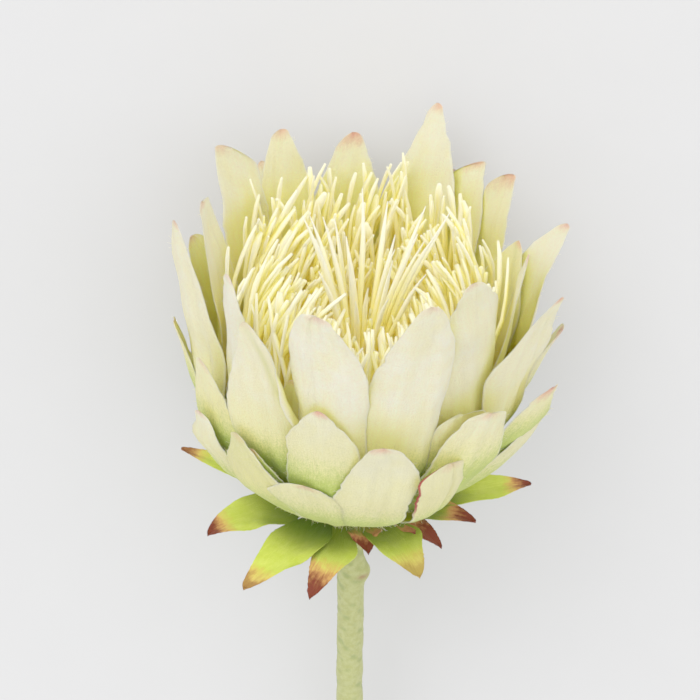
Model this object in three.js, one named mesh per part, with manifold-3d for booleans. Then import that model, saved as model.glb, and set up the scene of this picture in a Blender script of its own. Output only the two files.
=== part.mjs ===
// Protea flower: a cut bloom with green collar leaves on a bare stem, lying on a flat surface.
// Millimetres, +Z up. The bloom is drawn upright about its own axis and laid down at the end.
import * as THREE from 'three';
import { mergeVertices } from 'three/addons/utils/BufferGeometryUtils.js';
import Module from 'manifold-3d';

const STEM_LENGTH = 190;        // from the base of the bloom to the cut end
const STEM_RADIUS = 4.9;
const HEAD_LEAN_DEG = 4;        // the bloom leans to the right of its stem
const PETAL_THICKNESS = 0.8;
const LEAF_THICKNESS = 0.9;
const GAP = 0.3;                // clearance between nested pieces
const HUB_PITCH = 3;            // one layer of petals to the next, along the axis
const HUB_HALF = 0.9;           // half the thickness of a hub's flange
const PIN_RADIUS = 2;           // tongue of the stem that runs up through the hubs
const BOWL_POWER = 0.75;        // below 1 the bowl of petals is fuller low down
const FILAMENT_RADIUS = 0.85;
const OUTER_FILAMENTS = 78;
const MIDDLE_FILAMENTS = 66;
const CENTRE_STYLES = 28;
const BED_HEIGHT = 54;          // top of the round bed that the filaments stand in, at its middle
const GOLDEN_ANGLE = 137.508;

// Each layer is a bowl of petals: a quarter ellipse from its root (radius, height) out to the
// radius belly and up by rise, then straight up. peak is where along its length a petal is widest,
// base and tip are its widths at the two ends as a share of the widest. twist, by the azimuth of
// the tip: how far a petal is turned about its own length.
// Rows: azimuth of the tip, azimuth of the root, tip radius, tip height, width.
// Azimuth 0 is right, 90 is the back, which faces the surface once the bloom is laid down.
const LAYERS = {
  outer: {
    root: [9, 0], belly: 56, rise: 42, peak: 0.45, base: 0.28, tip: 0.16,
    rows: [
      [207, 210, 59, 50, 22], [224, 233, 56, 51, 25], [251, 255, 54, 39, 28], [278, 274, 57, 61, 27],
      [301, 303, 57, 50, 25], [355, 338, 63, 46, 30], [25, 19, 63, 44, 27], [57, 52, 62, 42, 27],
      [90, 90, 55.5, 34, 27], [124, 128, 62, 42, 27], [160, 168, 61, 42, 27],
    ],
  },
  second: {
    root: [9, 3], belly: 52.5, rise: 42, peak: 0.5, base: 0.26, tip: 0.14,
    rows: [
      [171, 177, 64, 60, 28], [201, 213, 57.5, 67, 26], [254, 257, 55, 71, 28], [313, 302, 57, 64, 29],
      [345, 342, 65, 60, 28], [9, 10, 68, 66, 27], [38, 38, 60, 64, 28], [67, 67, 65, 62, 28],
      [95, 95, 57, 58, 28], [122, 123, 66, 60, 28], [150, 150, 59, 60, 28], [231, 231, 54, 46, 26],
      [284, 284, 53, 47, 27],
    ],
  },
  middle: {
    root: [9, 6], belly: 49, rise: 43, peak: 0.58, base: 0.24, tip: 0.12,
    twist: { 178: -0.42, 338: 0.3 },
    rows: [
      [338, 340, 66, 101, 27], [6, 4, 62, 110, 31], [42, 38, 59, 109, 20], [66, 65, 76, 92, 30],
      [95, 95, 58, 84, 28], [118, 121, 78, 92, 30], [162, 154, 63, 89, 29], [178, 185, 65, 105, 29],
      [228, 238, 58, 97, 32], [252, 260, 56, 107, 27], [290, 282, 54, 112, 30], [312, 310, 50, 62, 28],
    ],
  },
  inner: {
    root: [9, 9], belly: 45.5, rise: 44, peak: 0.58, base: 0.24, tip: 0.12,
    rows: [
      [310, 334, 49, 114, 40], [351, 350, 52, 106, 27], [20, 20, 53, 96, 28], [57, 56, 60, 105, 26],
      [71, 76, 65, 123, 34], [96, 111, 58, 111, 32], [121, 132, 61, 114, 31], [142, 141, 61, 113.5, 28],
      [171, 170, 57, 110, 25], [214, 205, 56, 107, 28], [240, 240, 43, 72, 27], [277, 277, 42, 70, 28],
    ],
  },
};

// Leaves arch out from under the bloom and droop at the tip; same columns as above.
const COLLAR = {
  root: [9, -4], arch: [28, -1], shoulder: [0.72, 1], peak: 0.5, base: 0.32, tip: 0.1, leaf: true,
  rows: [
    [165, 168, 63, 2, 13], [148, 146, 68, -2, 13], [210, 202, 56, -3, 20], [236, 239, 62, -6, 18],
    [256, 262, 50, -11, 15], [282, 282, 31, -4, 12], [302, 302, 46, -6, 20], [323, 324, 40, -5, 11],
    [346, 344, 46, -2, 14], [10, 4, 66, 0, 18], [38, 36, 64, -2, 14], [66, 66, 36, -16, 14],
    [93, 93, 30, -18, 15], [121, 121, 36, -16, 14],
  ],
};

const CREAM = 0xefe9c2, GREEN = 0x9dbb4b, SAGE = 0xbcc793, YELLOW = 0xece2a0, IVORY = 0xf6f1d6;
const TAU = Math.PI * 2;
const rad = (deg) => (deg * Math.PI) / 180;
const clamp = (x) => Math.min(1, Math.max(0, x));
const smooth = (x) => clamp(x) ** 2 * (3 - 2 * clamp(x));

const wasm = await Module();
wasm.setup();

function random(seed) {
  let a = seed >>> 0;
  return () => {
    a = (a + 0x6d2b79f5) >>> 0;
    let t = Math.imul(a ^ (a >>> 15), 1 | a);
    t = (t + Math.imul(t ^ (t >>> 7), 61 | t)) ^ t;
    return ((t ^ (t >>> 14)) >>> 0) / 4294967296;
  };
}

function solid(geometry) {
  const g = new THREE.BufferGeometry();
  g.setAttribute('position', geometry.getAttribute('position').clone());
  if (geometry.index) g.setIndex(geometry.index.clone());
  const merged = mergeVertices(g, 1e-4);
  const triVerts = [];
  const index = merged.index.array;
  for (let i = 0; i < index.length; i += 3) {
    const [a, b, c] = [index[i], index[i + 1], index[i + 2]];
    if (a !== b && b !== c && a !== c) triVerts.push(a, b, c);
  }
  return new wasm.Manifold(new wasm.Mesh({
    numProp: 3,
    vertProperties: new Float32Array(merged.getAttribute('position').array),
    triVerts: new Uint32Array(triVerts),
  }));
}

function union(parts) {
  let level = parts;
  while (level.length > 1) {
    const next = [];
    for (let i = 0; i < level.length; i += 2) {
      next.push(i + 1 < level.length ? level[i].add(level[i + 1]) : level[i]);
    }
    level = next;
  }
  return level[0];
}

// Pockets sealed between lapping petals are filled: only the outer body is kept.
function whole(manifold) {
  return manifold.decompose().reduce((a, b) => (b.volume() > a.volume() ? b : a));
}

function closed(positions, index) {
  const g = new THREE.BufferGeometry();
  g.setAttribute('position', new THREE.Float32BufferAttribute(positions, 3));
  g.setIndex(index);
  return g;
}

// A ring section turned about the axis; the profile runs from low to high on the outside.
function turned(profile, segments) {
  const points = profile.map(([r, h]) => new THREE.Vector2(r, h));
  const g = new THREE.LatheGeometry(points, segments);
  return g.rotateX(Math.PI / 2);
}

// Outline of a petal: narrow root, widest at the peak, blunt tip.
function halfWidth(t, layer, width) {
  const rise = layer.base + (1 - layer.base) * smooth(t / layer.peak);
  const x = clamp((t - layer.peak) / (1 - layer.peak));
  const fall = layer.tip + (1 - layer.tip) * (1 - x ** 2.3) ** 0.8;
  return (width / 2) * rise * fall;
}

// Middle line of a petal or leaf in its own upright plane: radius and height.
function spine(t, layer, row) {
  const [, , R, H] = row;
  const [r0, h0] = layer.root;
  if (layer.leaf) {
    const p = [layer.root, layer.arch, [layer.shoulder[0] * R, layer.shoulder[1]], [R, H]];
    const w = [(1 - t) ** 3, 3 * t * (1 - t) ** 2, 3 * t * t * (1 - t), t ** 3];
    return [0, 1].map((k) => w.reduce((sum, wi, i) => sum + wi * p[i][k], 0));
  }
  const width = layer.belly - r0;
  const arc = (Math.PI / 2) * Math.hypot(width, layer.rise) * Math.SQRT1_2;
  const way = t * (arc + H - h0 - layer.rise);
  const turn = (Math.PI / 2) * Math.min(1, way / arc);
  const r = r0 + width * Math.sin(turn) + (R - layer.belly) * t ** 2.6;
  return [r, h0 + layer.rise * (1 - Math.cos(turn)) ** BOWL_POWER + Math.max(0, way - arc)];
}

// A point of the petal's middle surface, s from -1 at one edge to 1 at the other.
function surface(t, s, layer, row, k) {
  const [r, h] = spine(t, layer, row);
  const azimuth = rad(row[1] + (row[0] - row[1]) * t * t);
  const across = s * halfWidth(t, layer, row[4]);
  const wave = Math.sin(t * 5 + k * 2.1) * 0.35 * s * s * smooth(t / 0.4);
  const ridge = (1 - Math.abs(s)) * smooth(t / 0.5);
  const a = azimuth + across / Math.max(r, 8);
  if (layer.leaf) {
    return new THREE.Vector3(r * Math.cos(a), r * Math.sin(a), h + 2 * wave - 1.1 * ridge);
  }
  // One edge stands out and the other tucks in, so that each petal laps over the next.
  const lap = 0.9 * s * smooth(t / 0.35) * (1 - 0.5 * t);
  const twist = (layer.twist?.[row[0]] ?? 0) * across * smooth((t - 0.2) / 0.5);
  const rr = r + wave + lap + twist + 0.8 * t * ridge;
  return new THREE.Vector3(rr * Math.cos(a), rr * Math.sin(a), h);
}

// A blade with the same triangles on both faces.
function blade(layer, row, k, thickness, along, across) {
  const positions = [];
  const index = [];
  const cols = across + 1;
  const e = 1e-3;
  for (const side of [1, -1]) {
    for (let i = 0; i <= along; i++) {
      for (let j = 0; j <= across; j++) {
        const t = i / along;
        const s = (2 * j) / across - 1;
        const p = surface(t, s, layer, row, k);
        const dt = surface(clamp(t + e), s, layer, row, k).sub(surface(clamp(t - e), s, layer, row, k));
        const ds = surface(t, s + e, layer, row, k).sub(surface(t, s - e, layer, row, k));
        const n = dt.cross(ds).normalize();
        p.addScaledVector(n, (side * thickness) / 2);
        positions.push(p.x, p.y, p.z);
      }
    }
  }
  const at = (side, i, j) => side * (along + 1) * cols + i * cols + j;
  for (let i = 0; i < along; i++) {
    for (let j = 0; j < across; j++) {
      const q = [[i, j], [i + 1, j], [i + 1, j + 1], [i, j + 1]];
      const order = j < across / 2 ? [0, 1, 2, 0, 2, 3] : [0, 1, 3, 1, 2, 3];
      for (let m = 0; m < 6; m += 3) {
        const [a, b, c] = [0, 1, 2].map((o) => q[order[m + o]]);
        index.push(at(0, ...a), at(0, ...b), at(0, ...c), at(1, ...a), at(1, ...c), at(1, ...b));
      }
    }
  }
  const rim = [];
  for (let j = 0; j < across; j++) rim.push([0, j]);
  for (let i = 0; i < along; i++) rim.push([i, across]);
  for (let j = across; j > 0; j--) rim.push([along, j]);
  for (let i = along; i > 0; i--) rim.push([i, 0]);
  rim.forEach((a, i) => {
    const b = rim[(i + 1) % rim.length];
    index.push(at(0, ...a), at(0, ...b), at(1, ...b), at(0, ...a), at(1, ...b), at(1, ...a));
  });
  return closed(positions, index);
}

// Hub of a layer: a boss round the pin and a thin flange that the petal roots sink into.
function hub(layer, reach) {
  const [r0, h0] = layer.root;
  const top = h0 + HUB_PITCH - HUB_HALF - GAP;
  const lower = [];
  const upper = [];
  for (const t of [0, reach / 2, reach]) {
    const [r, h] = spine(t, layer, layer.rows[0]);
    lower.push([r, h - HUB_HALF]);
    upper.unshift([r, h + HUB_HALF]);
  }
  const boss = r0 - 1;
  return turned([
    [PIN_RADIUS + GAP, h0 - HUB_HALF], ...lower, ...upper,
    [boss, top], [PIN_RADIUS + GAP, top], [PIN_RADIUS + GAP, h0 - HUB_HALF],
  ], 24);
}

function rosette(layer, thickness, along, across, reach) {
  const blades = layer.rows.map((row, k) => solid(blade(layer, row, k, thickness, along, across)));
  return whole(union([solid(hub(layer, reach)), ...blades]));
}

// Radius of the inner petals' wall at an azimuth and height.
function wall(azimuth, height) {
  const layer = LAYERS.inner;
  const radii = layer.rows.map((row) => {
    const tall = [row[0], row[1], row[2], Math.max(row[3], 100), row[4]];
    let t = 0;
    while (t < 1 && spine(t, layer, tall)[1] < height) t += 0.02;
    const d = Math.abs(((azimuth - (row[1] + (row[0] - row[1]) * t * t) + 540) % 360) - 180);
    return [d, spine(t, layer, tall)[0]];
  });
  radii.sort((a, b) => a[0] - b[0]);
  return Math.min(radii[0][1], radii[1][1]);
}

// A three-sided filament through a root, a knee and a tip.
function filament(points, radius, tipRadius, turn) {
  const curve = new THREE.QuadraticBezierCurve3(...points);
  const positions = [];
  const index = [];
  const steps = 2;
  for (let i = 0; i <= steps; i++) {
    const p = curve.getPoint(i / steps);
    const d = curve.getTangent(i / steps);
    const u = new THREE.Vector3(-Math.sin(turn), Math.cos(turn), 0);
    u.addScaledVector(d, -u.dot(d)).normalize();
    const v = new THREE.Vector3().crossVectors(d, u);
    const r = i === steps ? tipRadius : radius;
    for (let j = 0; j < 3; j++) {
      const a = (TAU * j) / 3;
      const q = p.clone().addScaledVector(u, r * Math.cos(a)).addScaledVector(v, r * Math.sin(a));
      positions.push(q.x, q.y, q.z);
    }
  }
  for (let i = 0; i < steps; i++) {
    for (let j = 0; j < 3; j++) {
      const [a, b] = [i * 3 + j, i * 3 + ((j + 1) % 3)];
      index.push(a, b, b + 3, a, b + 3, a + 3);
    }
  }
  const last = steps * 3;
  index.push(0, 2, 1, last, last + 1, last + 2);
  return closed(positions, index);
}

const polar = (azimuth, r, h) =>
  new THREE.Vector3(r * Math.cos(rad(azimuth)), r * Math.sin(rad(azimuth)), h);

// Height of the head: highest at the back, low round the middle and at the front, where u is 0 for
// the innermost filament and 1 at the petals.
function headTop(azimuth, u) {
  const front = Math.exp(-(((azimuth - 272) / 45) ** 2));
  const back = Math.exp(-(((azimuth - 85) / 75) ** 2));
  return 72 + 28 * u ** 1.3 + (9 * back - 12 * front) * u;
}

// A filament stands up along the wall of petals and leans in over the head, most at the sides.
function ringFilament(azimuth, u, rnd) {
  const top = headTop(azimuth % 360, u) - 8 + 15 * rnd();
  const lean = u * (1 + 10 * Math.abs(Math.cos(rad(azimuth)))) + 8 * (rnd() - 0.5);
  const drift = 24 * (rnd() - 0.5);
  const kneeH = 0.62 * top;
  const kneeR = 12 + (wall(azimuth, kneeH) - 6) * u;
  const tipR = Math.min(Math.max(kneeR - 10 * u - lean, 4), wall(azimuth + drift, top) - 4);
  return [polar(azimuth, 13 + 11 * u, 24), polar(azimuth, kneeR, kneeH),
    polar(azimuth + drift, tipR, top)];
}

// The florets: a round bed in the bowl of petals, with filaments that grow from deep inside it.
function floretRing() {
  const rnd = random(4633);
  const inner = 9.5;
  const parts = [solid(turned([
    [inner, 11.1], [12, 11.6], [16, 13.9], [20, 16.4], [23, 18.4], [26, 21], [29.5, 27], [33, 36],
    [34.5, 54], [33, 62], [28, 60], [20, 57], [inner, BED_HEIGHT - 1], [inner, 11.1],
  ], 24))];
  for (let i = 0; i < OUTER_FILAMENTS; i++) {
    const azimuth = (i * 360) / OUTER_FILAMENTS + (rnd() - 0.5) * 2;
    parts.push(solid(filament(ringFilament(azimuth, 1 - 0.1 * (i % 3), rnd),
      FILAMENT_RADIUS, FILAMENT_RADIUS, rad(azimuth))));
  }
  for (let i = 0; i < MIDDLE_FILAMENTS; i++) {
    const azimuth = i * GOLDEN_ANGLE + (rnd() - 0.5) * 6;
    const u = 0.1 + 0.65 * Math.sqrt((i + 0.5) / MIDDLE_FILAMENTS);
    parts.push(solid(filament(ringFilament(azimuth, u, rnd),
      FILAMENT_RADIUS, FILAMENT_RADIUS, rad(azimuth))));
  }
  return whole(union(parts));
}

// Pointed styles fan out of the middle of the bed.
function centreStyles() {
  const rnd = random(77);
  const parts = [solid(turned([[0, 11.1], [9, 11.1], [9, 21], [8.5, BED_HEIGHT - 4],
    [5, BED_HEIGHT - 1], [0, BED_HEIGHT]], 24))];
  for (let i = 0; i < CENTRE_STYLES; i++) {
    const azimuth = i * GOLDEN_ANGLE;
    const u = Math.sqrt((i + 0.5) / CENTRE_STYLES);
    const points = [polar(azimuth, 5 * u, 20.5), polar(azimuth, 4.5 * u, 68),
      polar(azimuth + 16 * (rnd() - 0.5), 5 + 22 * u, 98 + 16 * rnd())];
    parts.push(solid(filament(points, FILAMENT_RADIUS, 0.35, rad(azimuth))));
  }
  return whole(union(parts));
}

// Stem: rings along a line that bends into the bloom's axis, a knob, and the pin on top.
function stemSolid() {
  const rnd = random(9);
  const lean = rad(HEAD_LEAN_DEG);
  const rings = [];
  const top = COLLAR.root[1] - HUB_HALF - GAP;
  const sides = 12;
  const steps = 13;
  for (let i = 0; i <= steps; i++) {
    const f = i / steps;
    const z = -STEM_LENGTH + (STEM_LENGTH + top) * f;
    const uneven = i === 0 ? 0 : 0.22 * Math.sin(i * 2.4) + 0.12 * (rnd() - 0.5);
    rings.push([z, STEM_RADIUS + uneven + 0.5 * smooth((f - 0.9) * 10)]);
  }
  const g = turned([[0, rings[0][0]], ...rings.map(([z, r]) => [r, z]), [PIN_RADIUS, top],
    [PIN_RADIUS, 10.8], [0, 10.8]], sides);
  const knob = new THREE.SphereGeometry(3.2, 8, 6).scale(0.9, 0.9, 1.4).translate(4.5, -1, -36);
  const body = solid(g).add(solid(knob));
  const mesh = geometryOf(body);
  const p = mesh.getAttribute('position');
  // The line of the stem is upright; above the bend it follows the leaning axis of the bloom.
  for (let i = 0; i < p.count; i++) {
    const z = p.getZ(i);
    const bend = 14;
    const below = Math.max(0, -z);
    const turn = lean * (1 - smooth(below / (2 * bend)));
    const x = p.getX(i) * Math.cos(turn) + (z > -2 * bend ? z * Math.sin(turn) : 0);
    const zz = -p.getX(i) * Math.sin(turn) + (z > 0 ? z * Math.cos(turn) : z);
    p.setXYZ(i, x, p.getY(i), zz);
  }
  return mesh;
}

function geometryOf(manifold) {
  const mesh = manifold.getMesh();
  const g = new THREE.BufferGeometry();
  const n = mesh.numProp;
  const count = mesh.vertProperties.length / n;
  const positions = new Float32Array(count * 3);
  for (let i = 0; i < count; i++) {
    for (let k = 0; k < 3; k++) positions[i * 3 + k] = mesh.vertProperties[i * n + k];
  }
  g.setAttribute('position', new THREE.BufferAttribute(positions, 3));
  g.setIndex(new THREE.BufferAttribute(new Uint32Array(mesh.triVerts), 1));
  return g;
}

function mesh(name, geometry, color) {
  geometry.computeVertexNormals();
  const made = new THREE.Mesh(geometry, new THREE.MeshStandardMaterial({ color, roughness: 0.85 }));
  made.name = name;
  return made;
}

const bloom = new THREE.Group();
bloom.rotation.y = rad(HEAD_LEAN_DEG);
bloom.add(mesh('leaf_collar', geometryOf(rosette(COLLAR, LEAF_THICKNESS, 5, 2, 0.1)), GREEN));
for (const [name, layer] of Object.entries(LAYERS)) {
  bloom.add(mesh(`bracts_${name}`, geometryOf(rosette(layer, PETAL_THICKNESS, 6, 2, 0.12)), CREAM));
}
bloom.add(mesh('floret_ring', geometryOf(floretRing()), YELLOW));
bloom.add(mesh('centre_styles', geometryOf(centreStyles()), IVORY));

const flower = new THREE.Group();
flower.name = 'protea_flower';
flower.add(mesh('stem', stemSolid(), SAGE), bloom);

// World points of the whole flower and its weight centre, the pieces taken as solids.
function measure(object) {
  const points = [];
  const centre = new THREE.Vector3();
  let total = 0;
  object.updateMatrixWorld(true);
  object.traverse((node) => {
    if (!node.isMesh) return;
    const p = node.geometry.getAttribute('position');
    const own = Array.from({ length: p.count }, (_, i) =>
      new THREE.Vector3().fromBufferAttribute(p, i).applyMatrix4(node.matrixWorld));
    points.push(...own);
    const index = node.geometry.index.array;
    for (let i = 0; i < index.length; i += 3) {
      const [a, b, c] = [own[index[i]], own[index[i + 1]], own[index[i + 2]]];
      const v = a.dot(new THREE.Vector3().crossVectors(b, c)) / 6;
      total += v;
      centre.addScaledVector(a.clone().add(b).add(c), v / 4);
    }
  });
  return { points, centre: centre.divideScalar(total) };
}

// Laid down on its back petals and the end of the stem: a narrowing search finds the plane under
// the weight centre that touches three low points, and the flower is turned until it is level.
function layDown(object) {
  object.rotation.x = -Math.PI / 2;
  const { points, centre } = measure(object);
  const low = points.filter((p) => p.z < 0);
  const height = (u, v) => low.reduce((m, p) =>
    Math.min(m, p.z - u * (p.x - centre.x) - v * (p.y - centre.y)), Infinity);
  let best = [0, 0, height(0, 0)];
  for (let step = 0.2; step > 1e-7;) {
    const [u, v] = best;
    const tries = [[1, 0], [-1, 0], [0, 1], [0, -1], [1, 1], [-1, 1], [1, -1], [-1, -1]].map(([p, q]) =>
      [u + p * step, v + q * step, height(u + p * step, v + q * step)]);
    const top = tries.reduce((m, q) => (q[2] > m[2] ? q : m));
    if (top[2] > best[2]) best = top;
    else step /= 2;
  }
  const normal = new THREE.Vector3(-best[0], -best[1], 1).normalize();
  const level = new THREE.Quaternion().setFromUnitVectors(normal, new THREE.Vector3(0, 0, 1));
  object.quaternion.premultiply(level);
  object.updateMatrixWorld(true);
  const box = new THREE.Box3().setFromObject(object, true);
  const middle = box.getCenter(new THREE.Vector3());
  object.position.set(-middle.x, -middle.y, -box.min.z);
}

layDown(flower);

// The part's frame: the flower keeps its place inside an outer group.
const part = new THREE.Group();
part.add(flower);

export default part;
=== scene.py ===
"""Protea flower: a cut bloom of soft cream petals, laid down on a pale surface."""
import math

import bpy
import numpy as np
from mathutils import Matrix, Vector


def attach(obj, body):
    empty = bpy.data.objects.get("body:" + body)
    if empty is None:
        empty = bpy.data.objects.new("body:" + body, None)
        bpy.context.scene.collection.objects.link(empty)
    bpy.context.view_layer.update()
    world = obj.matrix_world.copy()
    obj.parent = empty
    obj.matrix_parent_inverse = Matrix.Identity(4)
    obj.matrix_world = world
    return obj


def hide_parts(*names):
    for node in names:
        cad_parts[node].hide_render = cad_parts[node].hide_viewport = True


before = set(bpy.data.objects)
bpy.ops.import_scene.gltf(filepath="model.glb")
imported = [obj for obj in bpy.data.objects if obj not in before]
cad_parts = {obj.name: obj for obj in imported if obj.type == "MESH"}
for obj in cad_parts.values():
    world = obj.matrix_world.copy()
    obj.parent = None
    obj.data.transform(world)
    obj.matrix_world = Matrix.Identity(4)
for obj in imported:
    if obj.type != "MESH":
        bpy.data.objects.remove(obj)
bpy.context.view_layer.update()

scene = bpy.context.scene

TAU = 2 * math.pi
MM = 0.001

# The flower is drawn upright about its own axis, in millimetres, and laid down at the end.
STEM_LENGTH = 190
STEM_RADIUS = 4.9
HEAD_LEAN_DEG = 4  # of the bloom's axis from the stem's
LAY_TURN_DEG = (-76.9679, -0.1653, -1.4468)  # how the solids lie, about x, y and z
LAY_PLACE = (-6.115, 26.899, 47.616)
PETAL_THICKNESS = 0.8
LEAF_THICKNESS = 0.9
FINE_LEAF = 0.7  # thickness of the leaves here, as a part of that of the solids
HUB_PITCH = 3  # from the hub of one layer to the next
HUB_HALF, HUB_SIDES = 0.9, 72
GAP = 0.3
PIN_RADIUS = 2  # the stem's thin top
FILAMENT_RADIUS = 0.85
BOWL_POWER = 0.75
ROLL_RADIUS = 1.9  # of an edge that is rolled outward

# Each layer is a bowl of petals: a curve from its root (radius, height) out to the radius belly
# and up by rise, a quarter ellipse that BOWL_POWER makes shallower, then straight up. peak, base
# and tip shape the petals' outline, and green is the height where the green of the base fades out.
# open: by the azimuth of the tip, petals that lean out from nearer the base than the others.
# Rows: azimuth of the tip, azimuth of the root, tip radius, tip height, width.
LAYERS = {
    "outer": {
        "root": (9, 0), "belly": 56, "rise": 42, "green": 34, "peak": 0.45, "base": 0.28,
        "tip": 0.14,
        "rows": [
            (207, 210, 59, 50, 22), (224, 233, 56, 51, 25), (251, 255, 54, 39, 28),
            (278, 274, 57, 61, 27), (301, 303, 57, 50, 25), (355, 338, 63, 46, 30),
            (25, 19, 63, 44, 27), (57, 52, 62, 42, 27), (90, 90, 55.5, 34, 27),
            (124, 128, 62, 42, 27), (160, 168, 61, 42, 27),
        ],
    },
    "second": {
        "root": (9, 3), "belly": 52.5, "rise": 42, "green": 53, "peak": 0.5, "base": 0.26,
        "tip": 0.12,
        "rows": [
            (171, 177, 64, 60, 28), (201, 213, 57.5, 67, 26), (254, 257, 55, 71, 28),
            (313, 302, 57, 64, 29), (345, 342, 65, 60, 28), (9, 10, 68, 66, 27),
            (38, 38, 60, 64, 28), (67, 67, 65, 62, 28), (95, 95, 57, 58, 28),
            (122, 123, 66, 60, 28), (150, 150, 59, 60, 28), (231, 231, 54, 46, 26),
            (284, 284, 53, 47, 27),
        ],
    },
    "middle": {
        "root": (9, 6), "belly": 49, "rise": 43, "green": 54, "peak": 0.58, "base": 0.24,
        "tip": 0.1, "open": {178: 1.7},
        "rows": [
            (338, 340, 66, 101, 27), (6, 4, 62, 110, 31), (42, 38, 59, 109, 20),
            (66, 65, 76, 92, 30), (95, 95, 58, 84, 28), (118, 121, 78, 92, 30),
            (162, 154, 63, 89, 29), (178, 185, 65, 105, 29), (228, 238, 58, 97, 32),
            (252, 260, 56, 107, 27), (290, 282, 54, 112, 30), (312, 310, 50, 62, 28),
        ],
    },
    "inner": {
        "root": (9, 9), "belly": 45.5, "rise": 44, "green": 32, "peak": 0.58, "base": 0.24,
        "tip": 0.1,
        "rows": [
            (310, 334, 49, 114, 40), (351, 350, 52, 106, 27), (20, 20, 53, 96, 28),
            (57, 56, 60, 105, 26), (71, 76, 65, 123, 34), (96, 111, 58, 111, 32),
            (121, 132, 61, 114, 31), (142, 141, 61, 113.5, 28), (171, 170, 57, 110, 25),
            (214, 205, 56, 107, 28), (240, 240, 43, 72, 27), (277, 277, 42, 70, 28),
        ],
    },
}

# Petals whose shape or colour is their own, by the azimuth of the tip.
# Outline: peak, the place of the greatest width; skew, by how much that differs between the sides;
# taper, how full it stays above that; base and end, the widths of root and tip; slant, the slope of
# the tip; nicks, cuts in the edge as side, place and depth.
# Form: twist, turned about its own length; cup, hollow across; flare, the tip bent out; sway, the
# tip moved sideways; roll, a rolled edge as side, size and place.
# Colour: blush, how pink the tip is; deep, how far that reaches; blush_side, how far it sits to one
# side; shade, darker cloth; red_edge, a crimson edge.
LAYERS["outer"]["own"] = {
    207: {"twist": -0.4, "peak": 0.6, "end": 0.2},
    224: {"peak": 0.72, "taper": 1.3, "end": 0.14, "twist": -0.12, "shade": 1.0, "blush": 0.3},
    251: {"peak": 0.8, "taper": 1.4, "end": 0.25, "slant": -0.05, "base": 0.2, "blush": 0.6,
          "shade": 0.3},
    278: {"peak": 0.74, "taper": 1.5, "end": 0.28, "base": 0.2, "blush": 0.9, "skew": 0.06,
          "flare": 0.8, "shade": 0.4},
    301: {"peak": 0.8, "taper": 1.6, "end": 0.5, "twist": -0.35, "base": 0.2, "red_edge": 1.0,
          "slant": -0.1, "skew": -0.14, "shade": 0.3},
    355: {"twist": 0.4, "end": 0.3},
}
LAYERS["second"]["own"] = {
    171: {"twist": -0.4, "end": 0.3},
    201: {"twist": -0.3, "peak": 0.7, "end": 0.2},
    254: {"peak": 0.83, "taper": 1.15, "end": 0.1, "blush": 1.0, "cup": 2.4, "base": 0.2,
          "skew": 0.0, "flare": 0.4, "shade": 0.2},
    313: {"peak": 0.74, "taper": 2.0, "end": 0.5, "slant": -0.2, "twist": 0.15, "blush": 0.6,
          "sway": 4.0, "skew": 0.1},
    345: {"twist": 0.55, "end": 0.35, "blush": 1.0, "deep": 1.6},
    9: {"twist": 0.45, "end": 0.5, "blush": 1.0, "deep": 1.3},
}
LAYERS["middle"]["own"] = {
    338: {"twist": 0.3, "peak": 0.66, "skew": -0.05},
    6: {"twist": -0.2, "flare": 2.5, "end": 0.16, "slant": -0.5, "skew": 0.18, "taper": 2.2,
        "blush_side": -0.5, "blush": 1.0},
    162: {"end": 0.3},
    178: {"twist": -0.6, "peak": 0.66, "taper": 1.4, "end": 0.1},
    42: {"slant": -0.8, "end": 0.62, "taper": 1.6, "skew": -0.1, "sway": -1.0, "blush": 0.9,
         "deep": 2.4, "blush_side": -2.5},
    228: {"peak": 0.6, "roll": (1, 6.5, 0.76), "twist": -0.35, "blush": 0.3, "sway": -1.0,
          "skew": 0.0, "taper": 1.5, "end": 0.08, "cup": 1.6},
    252: {"peak": 0.7, "taper": 2.6, "end": 0.34, "blush": 0.7, "cup": 3.0, "skew": -0.06,
          "nicks": [(1, 0.7, -0.9)]},
    312: {"blush": 0.0, "peak": 0.72, "end": 0.6, "taper": 3.0},
    290: {"peak": 0.68, "taper": 1.9, "end": 0.2, "blush": 0.5, "cup": 3.0, "skew": 0.06},
}
LAYERS["inner"]["own"] = {
    310: {"peak": 0.7, "taper": 1.7, "blush": 0.5, "skew": 0.04, "end": 0.12, "cup": 2.8},
    57: {"slant": -0.8, "end": 0.6, "taper": 1.6, "skew": -0.1, "blush": 0.9, "blush_side": -3.0,
         "deep": 1.3},
    71: {"slant": -0.3, "taper": 1.2, "skew": -0.16, "end": 0.08, "blush_side": -0.8, "blush": 0.8,
         "deep": 1.4},
    96: {"slant": -0.3, "end": 0.2, "taper": 1.4, "skew": -0.12, "blush_side": -1.2, "blush": 1.0,
         "deep": 1.8},
    121: {"slant": -0.2, "taper": 1.6, "end": 0.16, "skew": -0.08, "blush": 0.8},
    142: {"slant": 0.7, "end": 0.5, "taper": 1.6, "skew": 0.16, "blush_side": 3.0, "blush": 0.9,
          "deep": 1.3},
    171: {"end": 0.45, "slant": 0.1},
    20: {"twist": -0.2, "roll": (-1, 4.0, 0.9)},
}

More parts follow.
